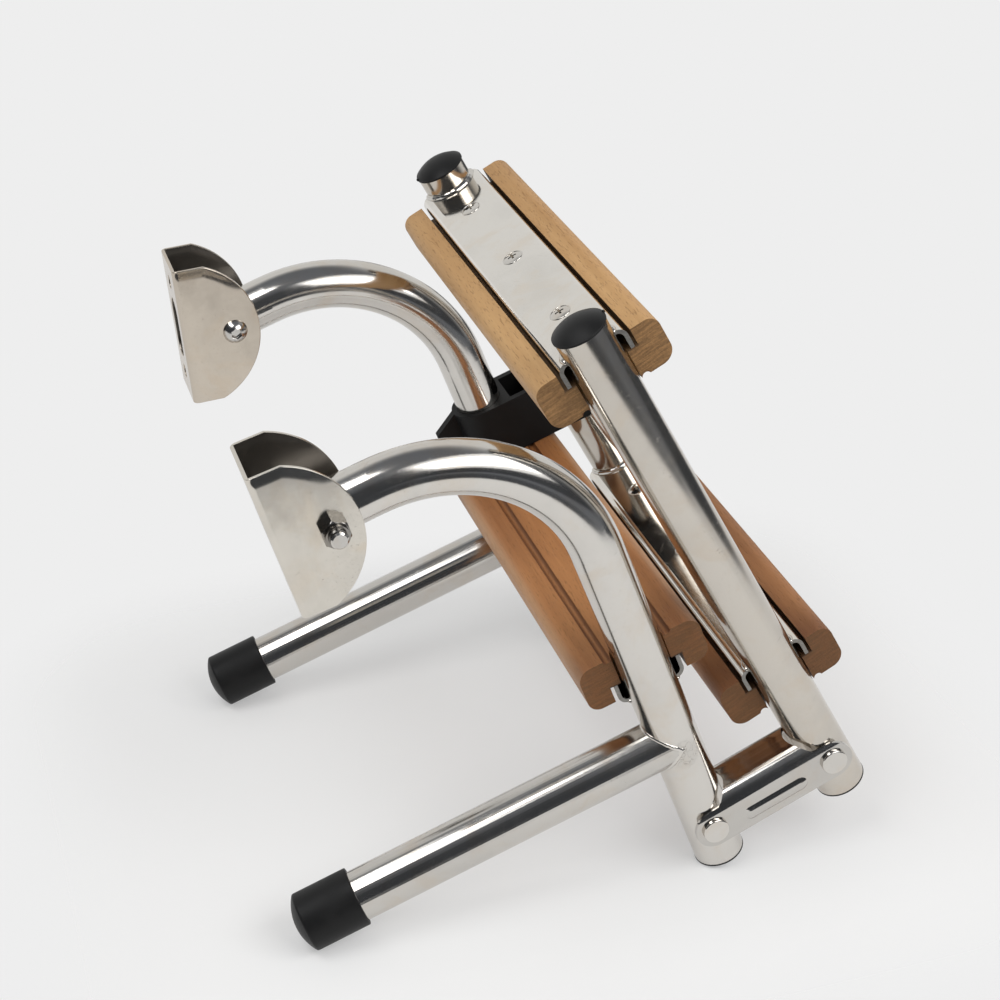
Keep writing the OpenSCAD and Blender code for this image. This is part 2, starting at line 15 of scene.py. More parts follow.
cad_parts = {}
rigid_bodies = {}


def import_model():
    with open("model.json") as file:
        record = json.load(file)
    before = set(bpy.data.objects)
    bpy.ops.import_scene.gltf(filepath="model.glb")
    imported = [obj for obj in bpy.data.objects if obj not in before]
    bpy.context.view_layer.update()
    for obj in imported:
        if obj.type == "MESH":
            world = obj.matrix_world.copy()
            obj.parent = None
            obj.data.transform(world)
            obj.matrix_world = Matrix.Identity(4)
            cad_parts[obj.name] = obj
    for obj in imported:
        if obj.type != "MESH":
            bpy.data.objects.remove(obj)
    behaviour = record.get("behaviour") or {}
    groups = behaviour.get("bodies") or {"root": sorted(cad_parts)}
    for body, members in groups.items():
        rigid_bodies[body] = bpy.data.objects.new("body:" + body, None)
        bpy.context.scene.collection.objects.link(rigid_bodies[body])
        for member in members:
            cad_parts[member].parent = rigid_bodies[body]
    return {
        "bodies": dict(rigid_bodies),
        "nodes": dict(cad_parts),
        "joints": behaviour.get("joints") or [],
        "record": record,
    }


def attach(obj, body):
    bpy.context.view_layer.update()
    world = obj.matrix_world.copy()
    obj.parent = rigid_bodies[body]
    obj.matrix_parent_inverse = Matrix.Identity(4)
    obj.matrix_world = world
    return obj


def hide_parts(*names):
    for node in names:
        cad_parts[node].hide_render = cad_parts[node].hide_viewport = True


log = logging.getLogger("ladder")
Colour = tuple[float, float, float]
Triple = tuple[float, float, float]
Range = tuple[float, float]


class Sock:
    """A shader value whose arithmetic adds Math nodes to its graph."""

    def __init__(self, graph: "Graph", out: bpy.types.NodeSocket) -> None:
        """Wraps an output socket of the graph."""
        self.graph = graph
        self.out = out

    def math(self, operation: str, *values: Any) -> "Sock":
        """Returns what one Math node makes of its operands."""
        return self.graph.sock("ShaderNodeMath", {"operation": operation}, dict(enumerate(values)))

    def __add__(self, other: Any) -> "Sock":
        """Returns the sum."""
        return self.math("ADD", self, other)

    __radd__ = __add__

    def __sub__(self, other: Any) -> "Sock":
        """Returns the difference."""
        return self.math("SUBTRACT", self, other)

    def __rsub__(self, other: Any) -> "Sock":
        """Returns the difference from a number."""
        return self.math("SUBTRACT", other, self)

    def __mul__(self, other: Any) -> "Sock":
        """Returns the product."""
        return self.math("MULTIPLY", self, other)

    __rmul__ = __mul__

    def __pow__(self, other: Any) -> "Sock":
        """Returns the power."""
        return self.math("POWER", self, other)

    def __abs__(self) -> "Sock":
        """Returns the size without its sign."""
        return self.math("ABSOLUTE", self)

    def top(self, other: Any) -> "Sock":
        """Returns the larger of two values."""
        return self.math("MAXIMUM", self, other)

    def least(self, other: Any) -> "Sock":
        """Returns the smaller of two values."""
        return self.math("MINIMUM", self, other)

    def ease(self, low: float, high: float) -> "Sock":
        """Returns 0 below low, 1 above high, and a smooth rise between."""
        levels = {"Value": self, "From Min": low, "From Max": high}
        return self.graph.sock("ShaderNodeMapRange", {"interpolation_type": "SMOOTHSTEP"}, levels)


class Graph:
    """A node tree that is filled node by node."""

    def __init__(self, tree: bpy.types.NodeTree) -> None:
        """Empties the tree."""
        self.tree = tree
        tree.nodes.clear()

    def node(
        self,
        kind: str,
        settings: dict[str, Any] | None = None,
        sockets: dict[int | str, Any] | None = None,
    ) -> bpy.types.Node:
        """Adds a node.

        Args:
            kind: The node's type.
            settings: Its own settings, set before its sockets.
            sockets: Values or links for its inputs, by name or place.

        Returns:
            The new node.
        """
        made = self.tree.nodes.new(kind)
        for key, value in (settings or {}).items():
            setattr(made, key, value)
        for key, value in (sockets or {}).items():
            if isinstance(value, Sock):
                self.tree.links.new(value.out, made.inputs[key])
            elif isinstance(value, bpy.types.NodeSocket):
                self.tree.links.new(value, made.inputs[key])
            else:
                made.inputs[key].default_value = value
        return made

    def sock(self, kind: str, settings: Any = None, sockets: Any = None, out: int | str = 0) -> Sock:
        """Adds a node as node() does and returns one of its outputs."""
        return Sock(self, self.node(kind, settings, sockets).outputs[out])

    def place(self) -> Sock:
        """Returns the Object coordinates."""
        return self.sock("ShaderNodeTexCoord", out="Object")

    def normal(self) -> Sock:
        """Returns the surface's direction."""
        return self.sock("ShaderNodeNewGeometry", out="Normal")

    def split(self, vector: Sock) -> tuple[Sock, Sock, Sock]:
        """Returns the three parts of a vector."""
        node = self.node("ShaderNodeSeparateXYZ", None, {0: vector})
        return tuple(Sock(self, node.outputs[i]) for i in range(3))

    def join(self, x: Any, y: Any, z: Any) -> Sock:
        """Returns a vector of three parts."""
        return self.sock("ShaderNodeCombineXYZ", None, {0: x, 1: y, 2: z})

    def moved(self, vector: Sock, by: Sequence[float]) -> Sock:
        """Returns the vector with another added."""
        return self.sock("ShaderNodeVectorMath", {"operation": "ADD"}, {0: vector, 1: by})

    def turned(self, vector: Sock, turn: Sequence[float]) -> Sock:
        """Returns the vector turned by radians."""
        return self.sock("ShaderNodeMapping", {"vector_type": "POINT"}, {0: vector, 2: turn})

    def scaled(self, vector: Sock, scale: Sequence[float]) -> Sock:
        """Returns the vector stretched on its axes."""
        return self.sock("ShaderNodeVectorMath", {"operation": "MULTIPLY"}, {0: vector, 1: scale})

    def length(self, vector: Sock) -> Sock:
        """Returns the vector's length."""
        return self.sock("ShaderNodeVectorMath", {"operation": "LENGTH"}, {0: vector}, "Value")

    def local(self, origin: Triple, turn: float) -> Sock:
        """Returns the Object coordinates from an origin, in a frame turned about X."""
        moved = self.moved(self.place(), tuple(-part for part in origin))
        return self.turned(moved, (-turn, 0.0, 0.0))

    def mix(self, share: Any, first: Any, second: Any) -> Sock:
        """Returns a colour between two colours."""
        pair = [value if isinstance(value, Sock) else (*value, 1.0) for value in (first, second)]
        return self.sock("ShaderNodeMix", {"data_type": "RGBA"}, {0: share, 6: pair[0], 7: pair[1]}, 2)

    def blend(self, share: Sock, first: bpy.types.Node, second: bpy.types.Node) -> bpy.types.Node:
        """Returns a shader between two shaders."""
        sockets = {0: share, 1: first.outputs[0], 2: second.outputs[0]}
        return self.node("ShaderNodeMixShader", None, sockets)

    def bump(self, height: Sock, distance: float, under: Sock | None = None) -> Sock:
        """Raises a normal by a height map.

        Args:
            height: The height map.
            distance: Its full height, in metres.
            under: The normal to raise, the surface's own if there is none.

        Returns:
            The raised normal.
        """
        sockets = {"Height": height, "Distance": distance, "Strength": 1.0}
        if under is not None:
            sockets["Normal"] = under
        return self.sock("ShaderNodeBump", None, sockets)

    def ray(self, kind: str) -> Sock:
        """Returns the mask of one kind of ray, by its output's name."""
        return self.sock("ShaderNodeLightPath", out=kind)

    def mirrored(self) -> Sock:
        """Returns the mask of mirrored or refracted rays."""
        return self.ray("Is Glossy Ray").top(self.ray("Is Transmission Ray"))


class Slot(Enum):
    """The record's material slots."""

    STEEL = "polished_steel"
    WOOD = "oiled_hardwood"
    RUBBER = "black_rubber"
    PLASTIC = "black_plastic"


class Body(Enum):
    """The record's moving bodies."""

    FRAME = "upper_frame"
    LINKS = "hinge_links"
    FOLD = "folding_section"
    LEFT = "left_bracket_body"
    RIGHT = "right_bracket_body"


class Side(Enum):
    """The two rails, by the sign of their X."""

    LEFT = -1
    RIGHT = 1

    @property
    def label(self) -> str:
        """Returns the side's part of a node's name."""
        return self.name.lower()


class Step(Enum):
    """The three steps, as the ladder is used."""

    UPPER = "upper_step"
    MIDDLE = "middle_step"
    BOTTOM = "bottom_step"

    @property
    def body(self) -> Body:
        """Returns the body that carries the step."""
        return Body.FRAME if self is Step.UPPER else Body.FOLD


@dataclass(frozen=True)
class Layout:
    """Where the rails, hinges and steps stand: metres, and turns in degrees."""

    rail_x: float = 0.11125
    tube_r: float = 0.0125
    lean: float = 18.70582
    lift: float = 0.0279921
    middle: float = 0.0642119
    link_len: float = 0.0667
    link_rise: float = 4.3
    fold_lean: float = 8.0
    fold_top: float = 0.2712
    standoff_z: float = 0.0513
    screw_pitch: float = 0.071
    bolt_y: float = 0.1024
    bolt_z: float = 0.2484
    upper_step: float = 0.082
    middle_step: float = 0.065
    bottom_step: float = 0.261

    @staticmethod
    def about_x(degrees: float) -> Matrix:
        """Returns a turn about X."""
        return Matrix.Rotation(math.radians(degrees), 4, "X")

    def upper(self) -> Matrix:
        """Returns the frame of the upper rails, from their hinge pins."""
        return Matrix.Translation((0.0, -self.middle, self.lift)) @ self.about_x(-self.lean)

    def folding(self) -> Matrix:
        """Finds the folding rails.

        Returns:
            Their frame, from their hinge pins.
        """
        rise = math.radians(self.link_rise)
        pin = Matrix.Translation((0.0, -self.link_len * math.cos(rise), self.link_len * math.sin(rise)))
        return self.upper() @ pin @ self.about_x(-self.fold_lean)

    def step(self, step: Step) -> Matrix:
        """Finds a step.

        Args:
            step: The step.

        Returns:
            Its frame, from the outer face of its channel.
        """
        if step is Step.UPPER:
            return self.upper() @ Matrix.Translation((0.0, 0.0, self.upper_step))
        reach = self.middle_step if step is Step.MIDDLE else self.bottom_step
        return self.folding() @ Matrix.Translation((0.0, 0.0, reach)) @ self.about_x(180.0)


@dataclass(frozen=True)
class Noise:
    """A noise pattern, and how far it shades, dulls and raises a surface.

    Scale and stretch are per metre, grit is what each finer octave keeps, and the values between the two
    levels rise from 0 to 1 in the pattern's mask.
    """

    scale: float = 1.0
    detail: float = 2.0
    grit: float = 0.5
    warp: float = 0.0
    levels: Range = (0.0, 1.0)
    stretch: Triple | None = None
    shade: float = 0.0
    dull: float = 0.0
    height: float = 0.0

    def on(self, place: Sock) -> Sock:
        """Draws the pattern.

        Args:
            place: The coordinates to draw on.

        Returns:
            A value of about 0 to 1.
        """
        vector = place if self.stretch is None else place.graph.scaled(place, self.stretch)
        sockets = {"Vector": vector, "Scale": self.scale, "Detail": self.detail, "Roughness": self.grit}
        return place.graph.sock("ShaderNodeTexNoise", None, {**sockets, "Distortion": self.warp})

    def mask(self, place: Sock) -> Sock:
        """Returns the pattern, eased between its levels."""
        return self.on(place).ease(*self.levels)

    def finer(self, by: float) -> "Noise":
        """Returns the pattern at a larger scale."""
        return replace(self, scale=self.scale + by)


@dataclass(frozen=True)
class Surface:
    """What a finish gives its shader."""

    colour: Sock
    rough: Sock
    normal: Sock

    def link(self, graph: Graph, shader: bpy.types.Node) -> None:
        """Links the three values to a Principled shader."""
        for name, value in zip(("Base Color", "Roughness", "Normal"), (self.colour, self.rough, self.normal)):
            graph.tree.links.new(value.out, shader.inputs[name])


@dataclass(frozen=True)
class Finish:
    """A named procedural material, with the shader's constant values."""

    constants: ClassVar[dict[str, float]] = {}
    name: str

    def surface(self, graph: Graph) -> Surface:
        """Returns the finish's patterns, drawn in a graph."""
        raise NotImplementedError

    def material(self) -> bpy.types.Material:
        """Makes the material on first use.

        Returns:
            The material.
        """
        found = bpy.data.materials.get(self.name)
        if found is not None:
            return found
        made = bpy.data.materials.new(self.name)
        made.use_nodes = True
        graph = Graph(made.node_tree)
        shader = graph.node("ShaderNodeBsdfPrincipled", None, self.constants)
        graph.node("ShaderNodeOutputMaterial", None, {"Surface": shader.outputs[0]})
        self.surface(graph).link(graph, shader)
        return made

    def coat(self, piece: bpy.types.Object) -> None:
        """Puts the finish on the whole of a piece.

        Args:
            piece: The piece.
        """
        piece.data.materials.clear()
        piece.data.materials.append(self.material())
        for polygon in piece.data.polygons:
            polygon.material_index = 0


@dataclass(frozen=True)
class PolishedSteel(Finish):
    """Mirror-polished stainless steel with faint smears, waves and hairline scratches."""

    constants: ClassVar[dict[str, float]] = {"Metallic": 1.0}
    tint: Colour = (0.675, 0.650, 0.612)
    rough: float = 0.125
    smear: float = 0.05
    wave: float = 0.00002
    scratch: float = 0.10
    scratch_shade: float = 0.35
    scratch_depth: float = 0.000004
    dulled: float = 0.84
    warmed: Colour = (0.96, 0.89, 0.81)
    smears: Noise = Noise(26.0, 4.0, 0.6, 0.4, (0.42, 0.72), shade=0.45)
    specks: Noise = Noise(160.0, 3.0, 0.6, levels=(0.45, 0.75), dull=0.4)
    warmth: Noise = Noise(42.0, 4.0, 0.65, 0.5, (0.46, 0.70), shade=0.55)
    waves: Noise = Noise(48.0, 1.0)
    headings: tuple[Triple, ...] = ((0.3, 0.2, 0.9), (1.1, 0.5, -0.4), (0.7, -0.9, 0.2))
    strokes: Noise = Noise(70.0, 1.0, levels=(0.70, 0.74), stretch=(1.0, 14.0, 14.0))
    stroke_step: float = 18.0
    patches: Noise = Noise(14.0, 1.0, levels=(0.48, 0.62))
    patch_step: float = 3.0

    def surface(self, graph: Graph) -> Surface:
        """Draws the steel.

        Args:
            graph: The material's graph.

        Returns:
            The surface, with the marks of how the piece was made.
        """
        place = graph.place()
        smears, lines = self.smears.mask(place), self.hairlines(place)
        specks = self.specks.mask(place) * (self.smear * self.specks.dull)
        rough = smears * self.smear + specks + lines * self.scratch + self.rough
        dull = tuple(self.dulled * part for part in self.tint)
        warm = tuple(part * share for part, share in zip(self.tint, self.warmed))
        colour = graph.mix(smears * self.smears.shade + lines * self.scratch_shade, self.tint, dull)
        colour = graph.mix(self.warmth.mask(place) * self.warmth.shade, colour, warm)
        normal = graph.bump(self.waves.on(place), self.wave)
        normal = graph.bump(lines, self.scratch_depth, normal)
        return self.worked(place, Surface(colour, rough, normal))

    def worked(self, place: Sock, plain: Surface) -> Surface:
        """Returns the plain surface with the marks of how a piece was made, none on plain steel."""
        return plain

    def hairlines(self, place: Sock) -> Sock:
        """Draws sparse fine scratches in several directions.

        Args:
            place: The coordinates to draw on.

        Returns:
            A value near 1 on a scratch.
        """
        drawn = []
        for index, heading in enumerate(self.headings):
            strokes = self.strokes.finer(self.stroke_step * index)
            patches = self.patches.finer(self.patch_step * index)
            drawn.append(strokes.mask(place.graph.turned(place, heading)) * patches.mask(place))
        return reduce(Sock.top, drawn)


@dataclass(frozen=True, kw_only=True)
class WeldedSteel(PolishedSteel):
    """Polished tube with the wandering marks that a weld's polishing leaves near it."""

    weld: Triple
    reach: Range = (0.005, 0.010)
    wander: Noise = Noise(190.0, warp=1.2, shade=0.34, dull=0.18, height=0.00004)
    wander_middle: float = 0.5
    line: Range = (0.003, 0.014)
    ripples: Noise = Noise(210.0, 1.0, height=0.00012)
    haze: Colour = (0.26, 0.235, 0.20)
    haze_shade: float = 0.12
    haze_dull: float = 0.04

    def worked(self, place: Sock, plain: Surface) -> Surface:
        """Adds thin wandering lines and a warm haze round the weld.

        Args:
            place: The coordinates to draw on.
            plain: The surface without them.

        Returns:
            The surface with them.
        """
        graph = place.graph
        away = graph.length(graph.moved(place, tuple(-part for part in self.weld)))
        near = 1 - away.ease(*self.reach)
        lines = (1 - abs(self.wander.on(place) - self.wander_middle).ease(*self.line)) * near
        colour = graph.mix(lines * self.wander.shade + near * self.haze_shade, plain.colour, self.haze)
        rough = plain.rough + lines * self.wander.dull + near * self.haze_dull
        normal = graph.bump(self.ripples.on(place) * near, self.ripples.height, plain.normal)
        return Surface(colour, rough, graph.bump(lines, self.wander.height, normal))


@dataclass(frozen=True)
class SawnSteel(PolishedSteel):
    """Channel steel with dull, rough sawn ends across X."""

    sawn: Colour = (0.17, 0.165, 0.155)
    sawn_least: float = 0.6
    sawn_dull: float = 0.34
    facing: Range = (0.80, 0.95)
    teeth: Noise = Noise(grit=0.6, stretch=(400.0, 500.0, 3600.0), shade=0.4, height=0.00012)

    def worked(self, place: Sock, plain: Surface) -> Surface:
        """Adds the saw's marks on the ends.

        Args:
            place: The coordinates to draw on.
            plain: The surface without them.

        Returns:
            The surface with them.
        """
        graph = place.graph
        end = abs(graph.split(graph.normal())[0]).ease(*self.facing)
        teeth = self.teeth.on(place)
        colour = graph.mix(end * (teeth * self.teeth.shade + self.sawn_least), plain.colour, self.sawn)
        normal = graph.bump(teeth * end, self.teeth.height, plain.normal)
        return Surface(colour, plain.rough + end * self.sawn_dull, normal)


@dataclass(frozen=True, kw_only=True)
class FoldedSteel(PolishedSteel):
    """Link steel with the shallow ripples that folding leaves along it, at a turn about X."""

    turn: float
    ripples: Noise = Noise(detail=1.0, stretch=(260.0, 9.0, 260.0), height=0.00045)

    def worked(self, place: Sock, plain: Surface) -> Surface:
        """Returns the plain surface with ripples along the fold."""
        ripples = self.ripples.on(place.graph.turned(place, (-self.turn, 0.0, 0.0)))
        return replace(plain, normal=place.graph.bump(ripples, self.ripples.height, plain.normal))


@dataclass(frozen=True, kw_only=True)
class PressedSteel(PolishedSteel):
    """Bracket steel whose ears are polished over at their edges and whose inside faces carry painted shade,
    round a centre and a turn about X.
    """

    centre: Triple
    turn: float
    ear_r: float = 0.0398
    ear_facing: Range = (0.5, 0.9)
    half: float = 0.0365
    shoulder: Range = (0.55, 0.85)
    crown: float = 0.006
    fall: float = 0.0005
    fall_power: float = 1.6
    cloud: Noise = Noise(60.0, 5.0, 0.62, 0.6, (0.35, 0.75), shade=0.16, dull=0.05)
    clouded: float = 0.80
    sheet: float = 0.0026
    sheet_edge: float = 0.0006
    base_facing: Range = (0.5, 0.8)
    # Colour of the painted shade on the bracket's inside faces.
    inner: Colour = (0.20, 0.183, 0.162)
    inner_dull: float = 0.22
    inner_from: Range = (0.002, 0.008)

    def worked(self, place: Sock, plain: Surface) -> Surface:
        """Adds the rounding of the ears, the smears of their faces, and painted shade with a rougher finish
        on the inside.

        Args:
            place: The coordinates to draw on.
            plain: The surface without them.

        Returns:
            The surface with them.
        """
        graph = place.graph
        x, y, z = graph.split(graph.local(self.centre, self.turn))
        across, out, _ = graph.split(graph.turned(graph.normal(), (-self.turn, 0.0, 0.0)))
        rim = (self.ear_r - (y * y + z * z) ** 0.5).least(self.half - abs(z))
        shoulder = z.ease(*(self.half * share for share in self.shoulder))
        fall = (1 - rim.ease(0.0, self.crown)) ** self.fall_power * shoulder
        normal = graph.bump((1 - fall) * abs(across).ease(*self.ear_facing), self.fall, plain.normal)
        cloud, clouded = self.cloud.mask(place), tuple(self.clouded * part for part in self.tint)
        colour = graph.mix(cloud * self.cloud.shade, plain.colour, clouded)
        # The inside faces and the base's inner face get painted shade and a rougher finish.
        base = (0 - out).ease(*self.base_facing) * (y + self.sheet).ease(0.0, self.sheet_edge)
        inside = (0 - across * x).ease(*self.inner_from).top(base)
        rough = plain.rough + cloud * self.cloud.dull + inside * self.inner_dull
        return Surface(graph.mix(inside, colour, self.inner), rough, normal)


@dataclass(frozen=True)
class Tone:
    """One tread's tones, its cut from the grain, how far its ends are burnt, and how strong the painted
    highlight on its long edges is.
    """

    pale: Colour
    dark: Colour
    shift: float
    burn: float
    rub: float


@dataclass(frozen=True)
class OiledHardwood(Finish):
    """Straight-grained oiled hardwood, grain along X, placed by its step's origin and turn about X."""

    constants: ClassVar[dict[str, float]] = {"Specular IOR Level": 0.35}
    tone: Tone
    origin: Triple
    turn: float
    rough: float = 0.46
    relief: float = 0.00012
    lift: float = 0.12
    wander: Noise = Noise(stretch=(4.0, 14.0, 14.0), height=2.2)
    ring_pace: Triple = (3.0, 90.0, 90.0)
    rings: Noise = Noise(detail=3.0, grit=0.55, levels=(0.25, 0.75), shade=0.52, height=0.3)
    fibres: Noise = Noise(grit=0.6, stretch=(30.0, 1100.0, 1100.0), shade=0.28, dull=0.14, height=0.5)
    pores: Noise = Noise(
        detail=1.0, levels=(0.58, 0.72), stretch=(190.0, 1700.0, 1700.0), shade=0.42, dull=0.1, height=0.8)
    fleck: Colour = (0.22, 0.105, 0.040)
    blotch: Noise = Noise(detail=3.0, levels=(0.3, 0.7), stretch=(9.0, 22.0, 22.0), shade=0.34)
    blotched: float = 0.8
    # Colour of the painted highlight along the tread's long edges.
    rubbed: Colour = (0.62, 0.40, 0.235)
    rubbed_from: Range = (0.0262, 0.0305)
    rubbed_least: float = 0.6
    burnt: Colour = (0.120, 0.043, 0.017)
    burnt_from: Range = (0.070, 0.112)
    burnt_least: float = 0.5
    end: Colour = (0.100, 0.049, 0.017)
    end_facing: Range = (0.5, 0.85)
    end_share: float = 0.92
    end_dull: float = 0.12
    specks: Noise = Noise(800.0, 4.0, 0.7, levels=(0.30, 0.75), shade=0.25)
    layers: Noise = Noise(
        detail=3.0, grit=0.6, levels=(0.35, 0.70), stretch=(60.0, 120.0, 1200.0), shade=0.40)
    # Colour of the painted shade in the grooves on the tread.
    groove: Colour = (0.125, 0.044, 0.014)
    groove_y: float = 0.0155
    groove_half: float = 0.0021
    groove_rim: Range = (0.9, 1.15)
    groove_wall: Range = (0.1, 0.7)
    groove_more: float = 0.45
    groove_least: float = 0.35
    groove_z: float = 0.02575
    groove_edge: float = 0.0003
    # Colour of the painted shade in the recess round the channel.
    recess: Colour = (0.060, 0.031, 0.014)
    recess_share: float = 0.85
    recess_y: float = 0.0189
    recess_z: float = 0.0121
    recess_wall: Range = (0.5, 0.9)
    recess_past: float = 0.0008
    recess_side: float = 0.0006
    recess_edge: float = 0.0004

    def surface(self, graph: Graph) -> Surface:
        """Draws the wood.

        Args:
            graph: The material's graph.

        Returns:
            The surface.
        """
        place = graph.moved(graph.place(), (self.tone.shift, self.tone.shift, 0.0))
        local = graph.local(self.origin, self.turn)
        rings, fibres, pores = self.ring_lines(place), self.fibres.on(place), self.pores.mask(place)
        blotch, specks = self.blotch.on(place), self.specks.on(place)
        end = abs(graph.split(graph.normal())[0]).ease(*self.end_facing)
        tone = rings.ease(*self.rings.levels) * self.rings.shade + fibres * self.fibres.shade
        tone = tone + blotch.ease(*self.blotch.levels) * self.blotch.shade - self.lift
        colour = graph.mix(tone, self.tone.pale, self.tone.dark)
        colour = graph.mix(pores * self.pores.shade, colour, self.fleck)
        # Painted highlight along the long edges, and the burnt ends.
        colour = self.used(colour, blotch * self.blotched, local)
        layers = self.layers.mask(local) * self.layers.shade
        cut = specks.ease(*self.specks.levels) * self.specks.shade + layers
        colour = graph.mix(end * self.end_share, colour, graph.mix(cut, self.end, self.tone.dark))
        # Painted shade in the grooves.
        colour = graph.mix(self.grooves(local), colour, self.groove)
        # Painted shade in the recess round the channel.
        colour = graph.mix(self.hollow(local) * self.recess_share, colour, self.recess)
        rough = fibres * self.fibres.dull + pores * self.pores.dull + end * self.end_dull + self.rough
        height = fibres * self.fibres.height - pores * self.pores.height + rings * self.rings.height
        return Surface(colour, rough, graph.bump(height + specks * end, self.relief))

    def ring_lines(self, place: Sock) -> Sock:
        """Draws the growth rings, which wander along the grain.

        Args:
            place: The coordinates to draw on.

        Returns:
            A value of about 0 to 1.
        """
        x, y, z = (part * pace for part, pace in zip(place.graph.split(place), self.ring_pace))
        wander = self.wander.on(place) * self.wander.height
        return self.rings.on(place.graph.join(x, y + wander, z))

    def used(self, colour: Sock, patchy: Sock, local: Sock) -> Sock:
        """Adds a painted highlight along the long edges, and ends burnt dark.

        Args:
            colour: The colour of the wood.
            patchy: A value that varies from patch to patch.
            local: The coordinates in the step's frame.

        Returns:
            The colour with the painted edge highlight and the burnt ends.
        """
        along, across, _ = local.graph.split(local)
        rubbed = abs(across).ease(*self.rubbed_from) * (patchy + self.rubbed_least)
        burnt = abs(along).ease(*self.burnt_from) * (patchy + self.burnt_least)
        colour = local.graph.mix(rubbed * self.tone.rub, colour, self.rubbed)
        return local.graph.mix(burnt * self.tone.burn, colour, self.burnt)

    def grooves(self, local: Sock) -> Sock:
        """Finds the painted shade in the two grooves along the tread.

        Args:
            local: The coordinates in the step's frame.

        Returns:
            How much painted shade a groove gets, most on its walls.
        """
        _, across, up = local.graph.split(local)
        side = abs(abs(across) - self.groove_y) * (1.0 / self.groove_half)
        dark = side.ease(*self.groove_wall) * self.groove_more + self.groove_least
        cut = up.ease(self.groove_z, self.groove_z + self.groove_edge)
        return (1 - side.ease(*self.groove_rim)) * dark * cut

    def hollow(self, local: Sock) -> Sock:
        """Finds the painted shade in the recess that holds the channel.

        Args:
            local: The coordinates in the step's frame.

        Returns:
            A value of 1 where the recess gets painted shade.
        """
        graph = local.graph
        _, y, z = graph.split(local)
        out = graph.split(graph.turned(graph.normal(), (-self.turn, 0.0, 0.0)))[1]
        wall = (0 - out * y).ease(*(self.recess_y * share for share in self.recess_wall))
        floor = (z - self.recess_z + self.recess_past).ease(0.0, self.recess_edge)
        floor = floor * (self.recess_y - abs(y)).ease(-self.recess_side, 0.0)
        return wall.top(floor) * (self.recess_z + self.recess_past - z).ease(0.0, self.recess_edge)


@dataclass(frozen=True)
class Moulded(Finish):
    """Black rubber or plastic with a fine moulded grain and light dust."""

    constants: ClassVar[dict[str, float]] = {"Specular IOR Level": 0.27}
    shade: float
    rough: float
    pitch: float = 2600.0
    depth: float = 0.00002
    dust: float = 0.012
    blue: float = 1.04
    grain: Noise = Noise(grit=0.6, shade=0.2, dull=0.08)
    haze: Noise = Noise(60.0, 4.0, 0.6, levels=(0.4, 0.75), shade=0.6, dull=0.12)

    def surface(self, graph: Graph) -> Surface:
        """Draws the moulded grain and the dust.

        Args:
            graph: The material's graph.

        Returns:
            The surface.
        """
        place = graph.place()
        grain, haze = replace(self.grain, scale=self.pitch).on(place), self.haze.mask(place)
        black = (self.shade, self.shade, self.shade * self.blue)
        dusty = tuple(part + self.dust for part in black)
        colour = graph.mix(haze * self.haze.shade + grain * self.grain.shade, black, dusty)
        rough = haze * self.haze.dull + grain * self.grain.dull + self.rough
        return Surface(colour, rough, graph.bump(grain, self.depth))


